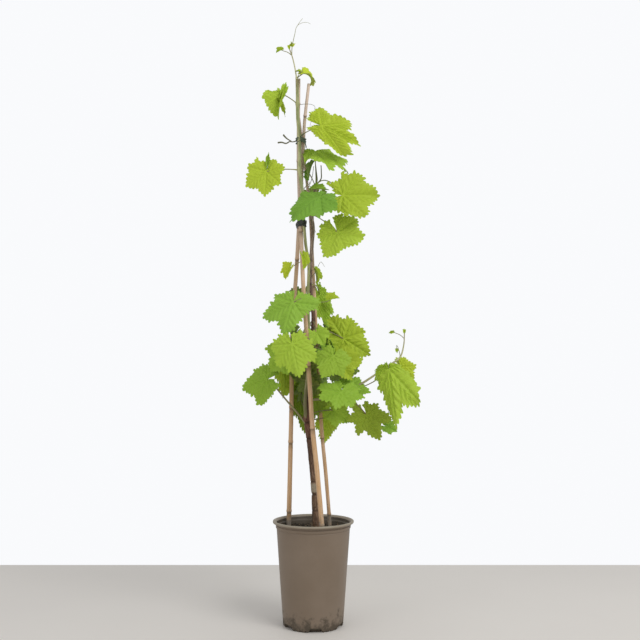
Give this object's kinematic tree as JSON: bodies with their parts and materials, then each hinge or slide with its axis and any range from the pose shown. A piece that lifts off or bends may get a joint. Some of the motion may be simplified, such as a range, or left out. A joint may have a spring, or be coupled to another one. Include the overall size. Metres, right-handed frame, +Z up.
{
  "type": "grapevine in a nursery pot",
  "caption": "Young grapevine in a tall round nursery pot, tied up a narrow tripod of bamboo canes, with lobed leaves in a dense lower tier, a sparse upper tier and a tendril at the tip.",
  "frame": {"origin": "centre of the pot's flat underside", "axes": "+Z up the plant, the plant's front towards -Y, +X to the right of a viewer who stands in front"},
  "size_m": [0.3699, 0.2169, 1.2614],
  "materials": {
    "pot_plastic": "satin taupe moulded plastic",
    "compost": "loose dark fibrous potting compost",
    "bamboo": "dry pale bamboo with darker rings at its nodes",
    "bark": "brown peeling vine bark",
    "green_stem": "smooth green young wood",
    "young_leaf": "soft yellow-green young leaf",
    "bright_leaf": "bright green leaf with paler veins",
    "mid_leaf": "mid green leaf with paler veins",
    "cool_leaf": "cool blue-green leaf with paler veins",
    "dark_leaf": "dark olive leaf",
    "tie_tape": "dark green plant tape"
  },
  "bodies": {
    "root": {"pot": "pot_plastic", "compost": "compost", "cane_left": "bamboo", "cane_front": "bamboo", "cane_back": "bamboo", "trunk": "bark", "arm": "bark", "leader": "green_stem", "growing_tip": "green_stem", "left_shoot": "green_stem", "right_shoot": "green_stem", "leaf_top_curled": "young_leaf", "leaf_top_left": "bright_leaf", "leaf_top_right": "young_leaf", "leaf_upper_left": "young_leaf", "leaf_saddle": "mid_leaf", "leaf_small_folded": "cool_leaf", "leaf_upper_right": "young_leaf", "leaf_over_canes": "cool_leaf", "leaf_ruffled": "mid_leaf", "leaf_under_right": "bright_leaf", "leaf_young_left": "young_leaf", "leaf_young_front": "young_leaf", "leaf_young_back": "young_leaf", "leaf_shoulder_left": "cool_leaf", "leaf_hanging_edge": "mid_leaf", "leaf_young_right": "young_leaf", "leaf_shoulder_right": "young_leaf", "leaf_front_left": "bright_leaf", "leaf_behind_left": "mid_leaf", "leaf_low_left": "mid_leaf", "leaf_behind_cane": "bright_leaf", "leaf_front_centre": "bright_leaf", "leaf_front_low": "mid_leaf", "leaf_middle_right": "young_leaf", "leaf_lowest": "bright_leaf", "leaf_low_shaded": "mid_leaf", "leaf_low_right": "dark_leaf", "leaf_low_right_small": "cool_leaf", "leaf_far_right": "bright_leaf", "leaf_far_right_young": "young_leaf", "leaf_centre_small": "mid_leaf", "leaf_inner_left": "dark_leaf", "leaf_inner_low": "dark_leaf", "leaf_right_edge": "mid_leaf", "leaf_inner_right": "dark_leaf", "leaf_back_top": "mid_leaf", "leaf_back_shoulder": "mid_leaf", "leaf_back_middle": "cool_leaf", "leaf_back_left": "bright_leaf", "leaf_back_right": "mid_leaf", "leaf_back_low": "cool_leaf", "tie_top": "tie_tape", "tie_middle": "tie_tape"}
  },
  "joints": []
}
